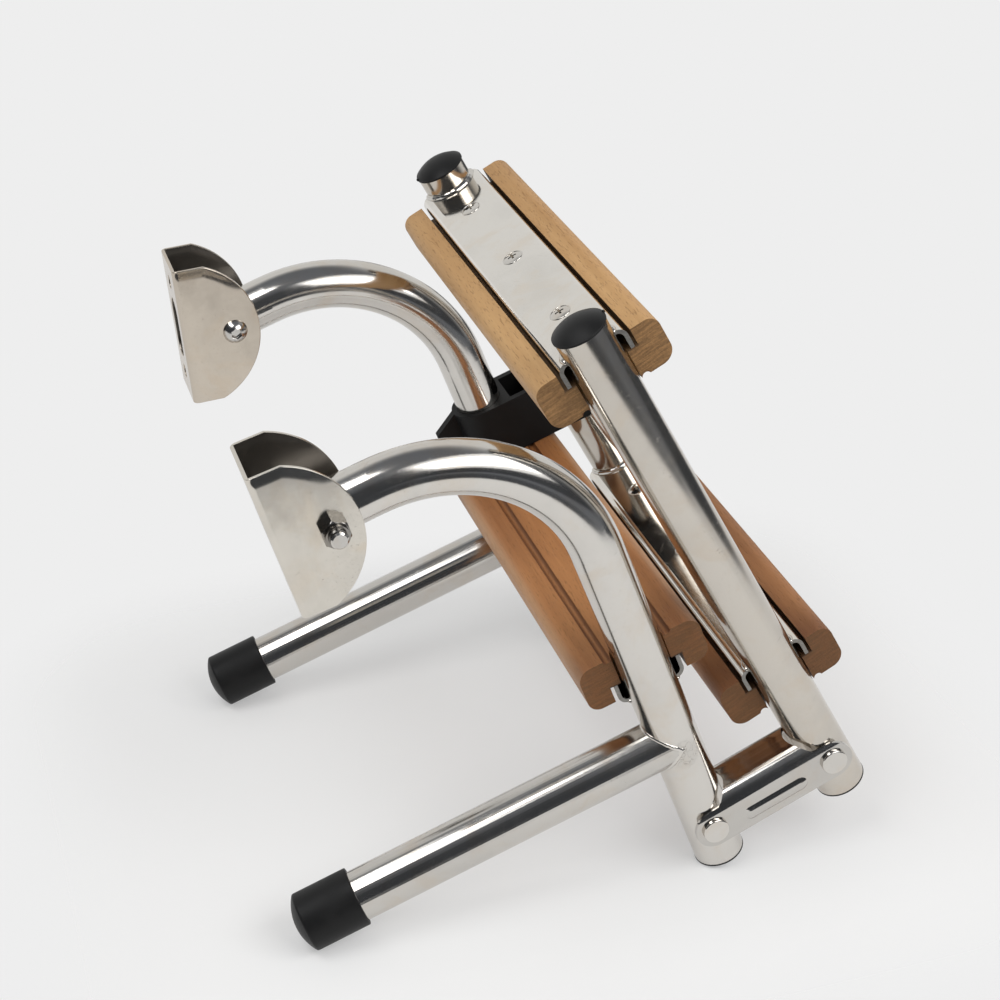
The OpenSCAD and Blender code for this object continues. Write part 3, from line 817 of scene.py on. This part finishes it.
class Bench:
    """Mesh work that several pieces share, done with Blender's own operators."""

    merge_gap: float = 0.000004
    flat: float = math.radians(0.3)
    sharp: float = math.radians(40.0)
    smooth: float = math.radians(32.0)
    face_weight: int = 90
    line_start: float = 0.01
    drop_height: float = 0.88
    swells: tuple[Range, ...] = ((0.05, 2.4), (0.05, 0.7))
    taper_least: float = 0.6
    taper_step: float = 0.1
    melt: float = 0.5

    @staticmethod
    def clear() -> None:
        """Leaves edit mode and deselects everything."""
        if bpy.context.object is not None and bpy.context.object.mode != "OBJECT":
            bpy.ops.object.mode_set(mode="OBJECT")
        bpy.ops.object.select_all(action="DESELECT")

    @staticmethod
    def hold(piece: bpy.types.Object) -> None:
        """Makes a piece the only selected and active object.

        Args:
            piece: The piece.
        """
        Bench.clear()
        piece.select_set(True)
        bpy.context.view_layer.objects.active = piece

    @staticmethod
    @contextmanager
    def editing() -> Iterator[None]:
        """Opens the active piece in edit mode with all its points selected, and closes it afterwards.

        Returns:
            The context in which the piece is open.
        """
        bpy.ops.object.mode_set(mode="EDIT")
        bpy.ops.mesh.select_mode(type="VERT")
        bpy.ops.mesh.select_all(action="SELECT")
        yield
        bpy.ops.object.mode_set(mode="OBJECT")

    @staticmethod
    def copy(piece: bpy.types.Object, name: str) -> bpy.types.Object:
        """Copies a piece.

        Args:
            piece: The piece.
            name: The copy's name.

        Returns:
            A new object with its own copy of the piece's mesh.
        """
        mesh = piece.data.copy()
        mesh.name = name
        made = bpy.data.objects.new(name, mesh)
        bpy.context.scene.collection.objects.link(made)
        return made

    @staticmethod
    def apply(piece: bpy.types.Object, kind: str, **settings: Any) -> None:
        """Adds a modifier to a held piece and applies it.

        Args:
            piece: The piece.
            kind: The modifier's type.
            settings: The modifier's settings.
        """
        modifier = piece.modifiers.new(kind.lower(), kind)
        for key, value in settings.items():
            setattr(modifier, key, value)
        bpy.ops.object.modifier_apply(modifier=modifier.name)

    @staticmethod
    def eased_copy(node: bpy.types.Object, name: str, width: float, rounds: int = 2,
                   share: Callable[[Vector], float] | None = None) -> bpy.types.Object:
        """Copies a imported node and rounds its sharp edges.

        Args:
            node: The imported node's object.
            name: The new piece's name.
            width: The rounding's width, in metres.
            rounds: The rounding's segments.
            share: The part of the width that an edge gets, by its middle point.

        Returns:
            The new piece.
        """
        piece = Bench.copy(node, name)
        Bench.hold(piece)
        with Bench.editing():
            bpy.ops.mesh.remove_doubles(threshold=Bench.merge_gap)
            bpy.ops.mesh.customdata_custom_splitnormals_clear()
            bpy.ops.mesh.dissolve_limited(angle_limit=Bench.flat)
            bpy.ops.mesh.select_mode(type="EDGE")
            bpy.ops.mesh.select_all(action="DESELECT")
            bpy.ops.mesh.edges_select_sharp(sharpness=Bench.sharp)
        weights = piece.data.attributes.new("bevel_weight_edge", "FLOAT", "EDGE")
        for edge in piece.data.edges:
            if edge.select:
                ends = [piece.data.vertices[index].co for index in edge.vertices]
                weights.data[edge.index].value = share((ends[0] + ends[1]) / 2.0) if share else 1.0
        Bench.apply(
            piece, "BEVEL", width=width, segments=rounds, limit_method="WEIGHT", use_clamp_overlap=True,
        )
        bpy.ops.object.shade_smooth_by_angle(angle=Bench.smooth)
        Bench.apply(piece, "WEIGHTED_NORMAL", weight=Bench.face_weight, keep_sharp=True)
        Bench.clear()
        return piece

    @staticmethod
    def line(name: str, points: Sequence[Triple]) -> bpy.types.Object:
        """Draws a line by extruding one point along a list of places.

        Args:
            name: The new object's name.
            points: The line's corners, in metres.

        Returns:
            The object that holds the line.
        """
        Bench.clear()
        bpy.ops.mesh.primitive_plane_add(size=Bench.line_start)
        drawn = bpy.context.object
        drawn.name = name
        with Bench.editing():
            bpy.ops.mesh.merge(type="CENTER")
            bpy.ops.transform.translate(value=points[0])
            for start, stop in zip(points, points[1:]):
                bpy.ops.mesh.extrude_region_move(
                    TRANSFORM_OT_translate={"value": Vector(stop) - Vector(start)}
                )
        return drawn

    @staticmethod
    def droplet(name: str) -> bpy.types.Object:
        """Models one drop of weld metal of radius 1, slightly flattened.

        Args:
            name: The new object's name.

        Returns:
            The drop.
        """
        Bench.clear()
        bpy.ops.mesh.primitive_uv_sphere_add(segments=14, ring_count=9, radius=1.0)
        drop = bpy.context.object
        drop.name = name
        with Bench.editing():
            bpy.ops.transform.resize(value=(1.0, 1.0, Bench.drop_height))
        return drop

    @staticmethod
    def seam(name: str, points: Sequence[Vector], size: float, voxel: float, rounds: int,
             tapers: bool = False) -> bpy.types.Object:
        """Lays overlapping drops along a path and melts them into one bead.

        Args:
            name: The new piece's name.
            points: The drops' places, in metres.
            size: The drops' radius.
            voxel: The detail of the melted bead.
            rounds: How often the bead is smoothed.
            tapers: Whether the bead runs thin at its two ends.

        Returns:
            The bead.
        """
        first = Bench.droplet(name)
        drops = []
        for index, point in enumerate(points):
            swell = size * sum((share * math.sin(pace * index) for share, pace in Bench.swells), 1.0)
            if tapers:
                inward = min(index, len(points) - 1 - index)
                swell *= min(1.0, Bench.taper_least + Bench.taper_step * inward)
            drop = Bench.copy(first, f"{name}_{index}")
            drop.data.transform(Matrix.Translation(point) @ Matrix.Scale(swell, 4))
            drops.append(drop)
        bpy.data.objects.remove(first)
        bead = drops[0]
        Bench.hold(bead)
        for drop in drops[1:]:
            drop.select_set(True)
        bpy.ops.object.join()
        bead.name = name
        bead.data.name = name
        Bench.hold(bead)
        Bench.apply(bead, "REMESH", mode="VOXEL", voxel_size=voxel)
        Bench.apply(bead, "SMOOTH", factor=Bench.melt, iterations=rounds)
        bpy.ops.object.shade_smooth()
        Bench.clear()
        return bead


@dataclass
class Assembly:
    """A sub-assembly of the ladder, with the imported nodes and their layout."""

    weld_steel: ClassVar[Finish] = PolishedSteel("steel_weld", rough=0.10, smear=0.06, wave=0.00006)
    nodes: dict[str, bpy.types.Object]
    layout: Layout

    def dress(self, name: str, finish: Finish) -> None:
        """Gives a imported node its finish."""
        finish.coat(self.nodes[name])
        log.info("dressed %s", name)

    def add(self, piece: bpy.types.Object, body: Body, slot: Slot, finish: Finish) -> None:
        """Dresses a new piece and hangs it on its body.

        Args:
            piece: The piece.
            body: The body that carries it.
            slot: Its material slot; not used.
            finish: Its finish.
        """
        finish.coat(piece)
        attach(piece, body.value)
        log.info("added %s", piece.name)

    def ease(self, name: str, body: Body, slot: Slot, finish: Finish, width: float, rounds: int = 2,
             share: Callable[[Vector], float] | None = None) -> None:
        """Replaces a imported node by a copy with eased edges.

        Args:
            name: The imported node's name.
            body: The body that carries it.
            slot: Its material slot.
            finish: Its finish.
            width: The rounding's width, in metres.
            rounds: The rounding's segments.
            share: The part of the width that an edge gets, by its middle point.
        """
        piece = Bench.eased_copy(self.nodes[name], name + "_eased", width, rounds, share)
        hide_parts(name)
        self.add(piece, body, slot, finish)


@dataclass
class Rails(Assembly):
    """The tubes of the upper and folding rails, with their end plugs."""

    mark_drop: float = 0.003
    nub: float = 0.0009
    nub_form: Triple = (1.2, 0.8, 1.0)
    nub_z: float = 0.0008
    nub_set: float = 0.0003

    def build(self) -> None:
        """Dresses the rails and plugs and adds the moulding nubs of the top plugs."""
        plug = Moulded("plastic_plug", shade=0.006, rough=0.40, dust=0.005)
        plain = PolishedSteel("steel_folding_rail", tint=(0.610, 0.570, 0.515))
        mark_z = self.layout.standoff_z - self.mark_drop
        for side in Side:
            mark_x = side.value * (self.layout.rail_x + self.layout.tube_r)
            weld = tuple(self.layout.upper() @ Vector((mark_x, 0.0, mark_z)))
            name = f"{side.label}_upper_rail"
            self.dress(name, WeldedSteel(f"steel_{name}", weld=weld))
            self.dress(f"{side.label}_lower_rail", plain)
            for name in ("upper_rail_plug", "lower_rail_top_plug", "lower_rail_bottom_plug"):
                self.dress(f"{side.label}_{name}", plug)
            self.add(self.moulding_nub(side), Body.FOLD, Slot.PLASTIC, plug)

    def moulding_nub(self, side: Side) -> bpy.types.Object:
        """Models the small nub on the rim of a top plug.

        Args:
            side: The rail's side.

        Returns:
            The nub, in place.
        """
        nub = Bench.droplet(f"{side.label}_top_plug_nub")
        place = self.layout.folding() @ Matrix.Translation((
            side.value * self.layout.rail_x,
            side.value * (self.layout.tube_r + self.nub_set),
            self.layout.fold_top + self.nub_z,
        ))
        form = (part * self.nub for part in self.nub_form)
        nub.data.transform(place @ Matrix.Diagonal((*form, 1.0)))
        Bench.hold(nub)
        bpy.ops.object.shade_smooth()
        Bench.clear()
        return nub


@dataclass
class StandOffs(Assembly):
    """The stand-off tubes, their rubber feet and the welds on the rails."""

    bead: float = 0.0017
    drops: int = 64
    sunk: float = 0.0009
    voxel: float = 0.00040
    smoothings: int = 18
    foot_ease: float = 0.0006

    def build(self) -> None:
        """Dresses the tubes, eases the feet and lays the welds."""
        tube = PolishedSteel("steel_standoff", tint=(0.600, 0.578, 0.545), rough=0.14)
        rubber = Moulded("rubber_foot", shade=0.0045, rough=0.44, pitch=1900.0, depth=0.00004, dust=0.006)
        for side in Side:
            name = f"{side.label}_standoff"
            self.dress(f"{name}_tube", tube)
            self.ease(f"{name}_foot", Body.FRAME, Slot.RUBBER, rubber, self.foot_ease, rounds=3)
            weld = Bench.seam(f"{name}_weld", self.saddle(side), self.bead, self.voxel, self.smoothings)
            self.add(weld, Body.FRAME, Slot.STEEL, self.weld_steel)

    def saddle(self, side: Side) -> list[Vector]:
        """Follows the crease between a stand-off and its rail.

        Args:
            side: The rail's side.

        Returns:
            Points along the crease.
        """
        points = []
        for index in range(self.drops):
            angle = 2.0 * math.pi * index / self.drops
            across, rise = math.cos(angle), math.sin(angle)
            crease = Vector((across, abs(rise), rise)) * self.layout.tube_r
            out = Vector((2.0 * across, abs(rise), rise)).normalized()
            place = crease - out * self.sunk
            place += Vector((side.value * self.layout.rail_x, 0.0, self.layout.standoff_z))
            points.append(self.layout.upper() @ place)
        return points


@dataclass
class Steps(Assembly):
    """The three steps: treads, channels, screws and the welds that hold the channels."""

    # Each tone's rub is the strength of a painted highlight along the tread's long edges.
    tones: ClassVar[dict[Step, Tone]] = {
        Step.UPPER: Tone((0.53, 0.242, 0.089), (0.24, 0.088, 0.028), shift=0.31, burn=0.45, rub=0.45),
        Step.MIDDLE: Tone((0.46, 0.210, 0.082), (0.21, 0.082, 0.029), shift=0.77, burn=0.70, rub=0.0),
        Step.BOTTOM: Tone((0.65, 0.398, 0.176), (0.41, 0.218, 0.080), shift=0.12, burn=0.08, rub=0.10),
    }
    tread_ease: float = 0.0026
    tread_keen: float = 0.42
    tread_rim: float = 0.0255
    tread_slack: float = 0.0005
    channel_ease: float = 0.00022
    bead: float = 0.0021
    drops: int = 60
    voxel: float = 0.00040
    smoothings: int = 16
    rim_r: float = 0.0049
    rim_wire: float = 0.00034
    rim_height: float = 0.8
    rim_rise: float = 0.00005

    def build(self) -> None:
        """Builds and dresses each step."""
        channel = SawnSteel("steel_channel", tint=(0.79, 0.762, 0.715), rough=0.08, smear=0.05)
        screw = PolishedSteel("steel_screw", rough=0.09, smear=0.03)
        for step in Step:
            name, body, wear = step.value, step.body, self.tread_share(step)
            self.ease(f"{name}_tread", body, Slot.WOOD, self.wood(step), self.tread_ease, 4, wear)
            self.ease(f"{name}_channel", body, Slot.STEEL, channel, self.channel_ease)
            self.dress(f"{name}_screws", screw)
            for index in (-1, 0, 1):
                self.add(self.rim(step, index), body, Slot.STEEL, screw)
            for side in Side:
                weld = Bench.seam(
                    f"{name}_{side.label}_weld", self.ring(step, side), self.bead, self.voxel,
                    self.smoothings, tapers=True)
                self.add(weld, body, Slot.STEEL, self.weld_steel)

    def wood(self, step: Step) -> OiledHardwood:
        """Returns the wood of one step, placed so that its grooves and recess are known."""
        frame, name = self.layout.step(step), f"hardwood_{step.name.lower()}"
        return OiledHardwood(name, self.tones[step], tuple(frame.to_translation()), frame.to_euler().x)

    def tread_share(self, step: Step) -> Callable[[Vector], float]:
        """Finds how far each edge of a tread is worn.

        Args:
            step: The step.

        Returns:
            A function of an edge's middle point, largest at the tread's outer end corners.
        """
        back = self.layout.step(step).inverted()
        end = self.layout.rail_x - self.tread_slack

        def share(middle: Vector) -> float:
            """Finds one edge's part of the wear.

            Args:
                middle: The edge's middle point.

            Returns:
                The part.
            """
            place = back @ middle
            outer = abs(place.x) > end and abs(place.y) > self.tread_rim
            return 1.0 if outer else self.tread_keen

        return share

    def rim(self, step: Step, index: int) -> bpy.types.Object:
        """Models the burnished rim round one screw head.

        Args:
            step: The step.
            index: The screw's place, from -1 to 1.

        Returns:
            The rim, in place.
        """
        Bench.clear()
        bpy.ops.mesh.primitive_torus_add(
            major_segments=48, minor_segments=10, major_radius=self.rim_r, minor_radius=self.rim_wire)
        rim = bpy.context.object
        rim.name = f"{step.value}_screw_rim_{index + 2}"
        with Bench.editing():
            bpy.ops.transform.resize(value=(1.0, 1.0, self.rim_height))
        bpy.ops.object.shade_smooth()
        place = Matrix.Translation((index * self.layout.screw_pitch, 0.0, -self.rim_rise))
        rim.data.transform(self.layout.step(step) @ place)
        Bench.clear()
        return rim

    def ring(self, step: Step, side: Side) -> list[Vector]:
        """Follows a rail round where it meets the end of a channel's web.

        Args:
            step: The step.
            side: The rail's side.

        Returns:
            Points along the inner half of the rail's round.
        """
        points = []
        for index in range(self.drops):
            share = index / (self.drops - 1)
            angle = math.radians(-90.0 + 180.0 * share)
            x = side.value * (self.layout.rail_x - self.layout.tube_r * math.cos(angle))
            place = Vector((x, self.layout.tube_r * math.sin(angle), 0.0))
            points.append(self.layout.step(step) @ place)
        return points


@dataclass
class Hinges(Assembly):
    """The hinge links and their pins."""

    link_ease: float = 0.0005

    def build(self) -> None:
        """Eases the links and dresses the pins."""
        sheet = FoldedSteel(
            "steel_link", tint=(0.565, 0.545, 0.516), rough=0.10, smear=0.06, wave=0.00003,
            turn=-math.radians(self.layout.lean + self.layout.link_rise))
        pin = PolishedSteel("steel_pin", rough=0.09, smear=0.04)
        for side in Side:
            self.ease(f"{side.label}_hinge_link", Body.LINKS, Slot.STEEL, sheet, self.link_ease, rounds=3)
            self.dress(f"{side.label}_upper_hinge_pin", pin)
            self.dress(f"{side.label}_lower_hinge_pin", pin)


@dataclass
class Brackets(Assembly):
    """The hull brackets with their bolts, nuts and the threads that show past the nuts."""

    edge: float = 0.0005
    set_back: float = 0.0268
    rise: float = -0.001
    left_swivel: float = 3.5
    right_swivel: float = 15.5
    thread_start: float = 0.0256
    thread_root: float = 0.0039
    thread_crest: float = 0.00420
    thread_pitch: float = 0.0009
    thread_top: Range = (0.40, 0.55)
    thread_foot: float = 0.95
    thread_turns: int = 2
    thread_steps: int = 32
    tip_chamfer: float = 0.0009
    tip_from: float = 0.0270
    keen: float = 0.12
    nut_edge: float = 0.00035

    def build(self) -> None:
        """Builds and dresses both brackets."""
        bolt = PolishedSteel("steel_bolt", tint=(0.62, 0.600, 0.570), rough=0.14, smear=0.05)
        nut = PolishedSteel("steel_nut", tint=(0.33, 0.315, 0.292), rough=0.16, smear=0.06)
        cut = PolishedSteel("steel_thread", tint=(0.24, 0.231, 0.218), rough=0.26, smear=0.06)
        bush = Moulded("plastic_bush", shade=0.010, rough=0.48)
        # The right bracket's darker, warmer tint is painted shade on the same steel as the left.
        for side, body, swivel, tint in (
            (Side.LEFT, Body.LEFT, self.left_swivel, (0.70, 0.662, 0.598)),
            (Side.RIGHT, Body.RIGHT, self.right_swivel, (0.605, 0.540, 0.460)),
        ):
            name, wear = f"{side.label}_bracket", self.tip_share(side)
            hinge = Matrix.Translation((0.0, self.layout.bolt_y, self.layout.bolt_z))
            frame = self.layout.upper() @ hinge @ Layout.about_x(swivel)
            base = frame @ Vector((side.value * self.layout.rail_x, self.set_back, -self.rise))
            sheet = PressedSteel(
                f"steel_{name}", tint=tint, rough=0.13, smear=0.05, centre=tuple(base),
                turn=math.radians(swivel - self.layout.lean),
            )
            self.ease(name, body, Slot.STEEL, sheet, self.edge, rounds=3)
            self.dress(f"{name}_bushes", bush)
            self.ease(f"{name}_bolt", body, Slot.STEEL, bolt, self.tip_chamfer, rounds=1, share=wear)
            self.ease(f"{name}_nut", body, Slot.STEEL, nut, self.nut_edge)
            self.add(self.thread(side, frame), body, Slot.STEEL, cut)

    def tip_share(self, side: Side) -> Callable[[Vector], float]:
        """Returns how far each edge of a bolt is broken: most round its tip."""
        past = self.layout.rail_x + self.tip_from
        return lambda middle: 1.0 if middle.x * side.value > past else self.keen

    def thread(self, side: Side, frame: Matrix) -> bpy.types.Object:
        """Models the end of a bolt's thread past its nut.

        Args:
            side: The bracket's side.
            frame: The frame of the bracket's bolt.

        Returns:
            The thread, in place.
        """
        pitch = self.thread_pitch
        thread = Bench.line(f"{side.label}_bolt_thread", (
            (self.thread_root, 0.0, 0.0),
            *((self.thread_crest, 0.0, share * pitch) for share in self.thread_top),
            (self.thread_root, 0.0, self.thread_foot * pitch),
        ))
        Bench.hold(thread)
        Bench.apply(
            thread, "SCREW", axis="Z", screw_offset=pitch, iterations=self.thread_turns,
            steps=self.thread_steps, render_steps=self.thread_steps, use_merge_vertices=False,
        )
        start = Matrix.Translation((side.value * (self.layout.rail_x + self.thread_start), 0.0, 0.0))
        outward = Matrix.Rotation(math.radians(90.0 * side.value), 4, "Y")
        thread.data.transform(frame @ start @ outward)
        with Bench.editing():
            bpy.ops.mesh.normals_make_consistent(inside=False)
        bpy.ops.object.shade_smooth_by_angle(angle=Bench.sharp)
        Bench.clear()
        return thread


@dataclass
class Clip(Assembly):
    """The clip that holds the folded rails together."""

    edge: float = 0.0007

    def build(self) -> None:
        """Eases and dresses the clip."""
        plastic = Moulded(
            "plastic_clip", shade=0.0035, rough=0.50, pitch=1500.0, depth=0.00005, dust=0.003)
        self.ease("fold_clip", Body.FRAME, Slot.PLASTIC, plastic, self.edge, rounds=3)


@dataclass(frozen=True)
class Lamp:
    """A soft box: its direction and distance from what it lights, its width and height, and its watts."""

    name: str
    toward: Triple
    away: float
    size: Range
    power: float

    def hang(self, target: Triple) -> None:
        """Hangs the soft box, facing its target.

        Args:
            target: The place that it lights.
        """
        data = bpy.data.lights.new(self.name, "AREA")
        data.shape = "RECTANGLE"
        data.size, data.size_y = self.size
        data.energy = self.power
        box = bpy.data.objects.new(self.name, data)
        heading = Vector(self.toward).normalized()
        box.location = Vector(target) + heading * self.away
        box.rotation_euler = heading.to_track_quat("Z", "Y").to_euler()
        bpy.context.scene.collection.objects.link(box)


@dataclass
class Studio:
    """The floor, lamps, surroundings and camera.

    Mirrored rays see pale paper that ends some way in front and to the right, in a room that is darker on
    the camera's side and overhead.
    """

    lamps: ClassVar[tuple[Lamp, ...]] = (
        Lamp("key_halo", toward=(-0.632, -0.452, 0.629), away=1.32, size=(1.15, 1.0), power=3.7),
        Lamp("key_core", toward=(-0.632, -0.452, 0.629), away=1.30, size=(1.0, 0.58), power=5.9),
        Lamp("fill_box", toward=(-0.16, 0.47, 0.86), away=1.4, size=(0.9, 0.5), power=6.5),
    )
    lit: Triple = (-0.05, 0.03, 0.18)
    eye: Triple = (-0.91089, 0.26275, 0.66392)
    turn: Triple = (61.92951, 1.92401, -106.97436)
    lens: float = 77.2222
    sensor: float = 36.0
    sight: float = 100.0
    pale: Colour = (0.855, 0.855, 0.855)
    paper: Colour = (0.87, 0.87, 0.865)
    gloom: Colour = (0.046, 0.050, 0.057)
    aside: Colour = (0.150, 0.160, 0.178)
    behind: Colour = (0.78, 0.78, 0.77)
    around: Colour = (0.50, 0.50, 0.50)
    ahead: Range = (-0.959, 0.283)
    back_from: Range = (-0.10, 0.55)
    roof_from: Range = (0.72, 0.97)
    aloft_from: Range = (0.5, 0.85)
    floor_size: float = 60.0
    front_edge: Range = (0.59, 0.66)
    right_edge: Range = (0.9, 1.15)
    room_from: Range = (-0.1, 1.4)
    dim_from: Range = (0.1, 0.6)
    dim: float = 0.14
    far_from: Range = (0.45, 1.3)
    glow: float = 0.40
    stand_x: float = 0.125
    stand_y: float = 0.148
    fade_from: Range = (0.03, 0.14)

    def build(self) -> None:
        """Builds the whole set."""
        self.camera()
        self.floor()
        for lamp in self.lamps:
            lamp.hang(self.lit)
        self.surroundings()

    def camera(self) -> None:
        """Places the camera at the photograph's viewpoint."""
        data = bpy.data.cameras.new("camera")
        data.lens = self.lens
        data.sensor_width = self.sensor
        data.clip_end = self.sight
        view = bpy.data.objects.new("camera", data)
        view.location = self.eye
        view.rotation_euler = [math.radians(part) for part in self.turn]
        bpy.context.scene.collection.objects.link(view)
        bpy.context.scene.camera = view

    def floor(self) -> None:
        """Lays the paper floor, which keeps the ladder's shadow and fades into the surround past it.

        The faded part lets the steps show that hang below it when the ladder is unfolded.
        """
        Bench.clear()
        bpy.ops.mesh.primitive_plane_add(size=self.floor_size)
        sheet = bpy.context.object
        sheet.name = "paper_floor"
        made = bpy.data.materials.new("paper")
        made.use_nodes = True
        graph = Graph(made.node_tree)
        x, y, _ = graph.split(graph.place())
        camera, mirrored = graph.ray("Is Camera Ray"), graph.mirrored()
        paper = graph.node("ShaderNodeBsdfDiffuse", None, {"Color": (*self.paper, 1.0)})
        light = graph.node("ShaderNodeEmission", None, {"Color": self.shine(0 - x, 0 - y, mirrored)})
        past_front = (0 - x).ease(*self.front_edge) * mirrored
        far = ((x * x + y * y) ** 0.5).ease(*self.far_from).top(past_front)
        fade = (far * (1.0 - self.glow) + self.glow) * camera.top(mirrored)
        past_x, past_y = (abs(x) - self.stand_x).top(0.0), (abs(y) - self.stand_y).top(0.0)
        past = (past_x * past_x + past_y * past_y) ** 0.5
        gone = (past.ease(*self.fade_from) * camera).top(graph.ray("Is Shadow Ray"))
        clear = graph.node("ShaderNodeBsdfTransparent")
        laid = graph.blend(gone, graph.blend(fade, paper, light), clear)
        graph.node("ShaderNodeOutputMaterial", None, {"Surface": laid.outputs[0]})
        sheet.data.materials.append(made)

    def shine(self, front: Sock, right: Sock, mirrored: Sock) -> Sock:
        """Draws the floor's glow, which ends in a dim room for mirrored rays.

        Args:
            front: The distance towards the camera.
            right: The distance to the camera's right.
            mirrored: The mask of mirrored rays.

        Returns:
            The glow's colour.
        """
        mix = mirrored.graph.mix
        colour = mix(front.ease(*self.dim_from) * mirrored * self.dim, self.pale, self.gloom)
        colour = mix(right.ease(*self.right_edge) * mirrored, colour, self.gloom)
        room = mix(right.ease(*self.room_from), self.gloom, self.aside)
        return mix(front.ease(*self.front_edge) * mirrored, colour, room)

    def surroundings(self) -> None:
        """Sets a pale surround that is darker on the camera's side and overhead for mirrored rays."""
        world = bpy.data.worlds.new("studio")
        bpy.context.scene.world = world
        world.use_nodes = True
        graph = Graph(world.node_tree)
        x, y, z = graph.split(graph.sock("ShaderNodeTexCoord", out="Generated"))
        toward = x * self.ahead[0] + y * self.ahead[1]
        back = (0 - toward).ease(*self.back_from) * (1 - z.ease(*self.roof_from))
        mirror = graph.mix(z.ease(*self.aloft_from), self.gloom, self.aside)
        mirror = graph.mix(back, mirror, self.behind)
        colour = graph.mix(graph.mirrored(), self.around, mirror)
        colour = graph.mix(graph.ray("Is Camera Ray"), colour, self.pale)
        glow = graph.node("ShaderNodeBackground", None, {"Color": colour, "Strength": 1.0})
        graph.node("ShaderNodeOutputWorld", None, {"Surface": glow.outputs[0]})


def main(frame: dict[str, Any]) -> None:
    """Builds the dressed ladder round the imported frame.
    """
    logging.basicConfig(level=logging.INFO, format="%(message)s")
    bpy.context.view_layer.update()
    bpy.context.scene.view_settings.view_transform = "Standard"
    Bench.clear()
    layout = Layout()
    for assembly in (Rails, StandOffs, Steps, Hinges, Brackets, Clip):
        assembly(frame["nodes"], layout).build()
    Studio().build()


if __name__ == "__main__":
    main(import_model())
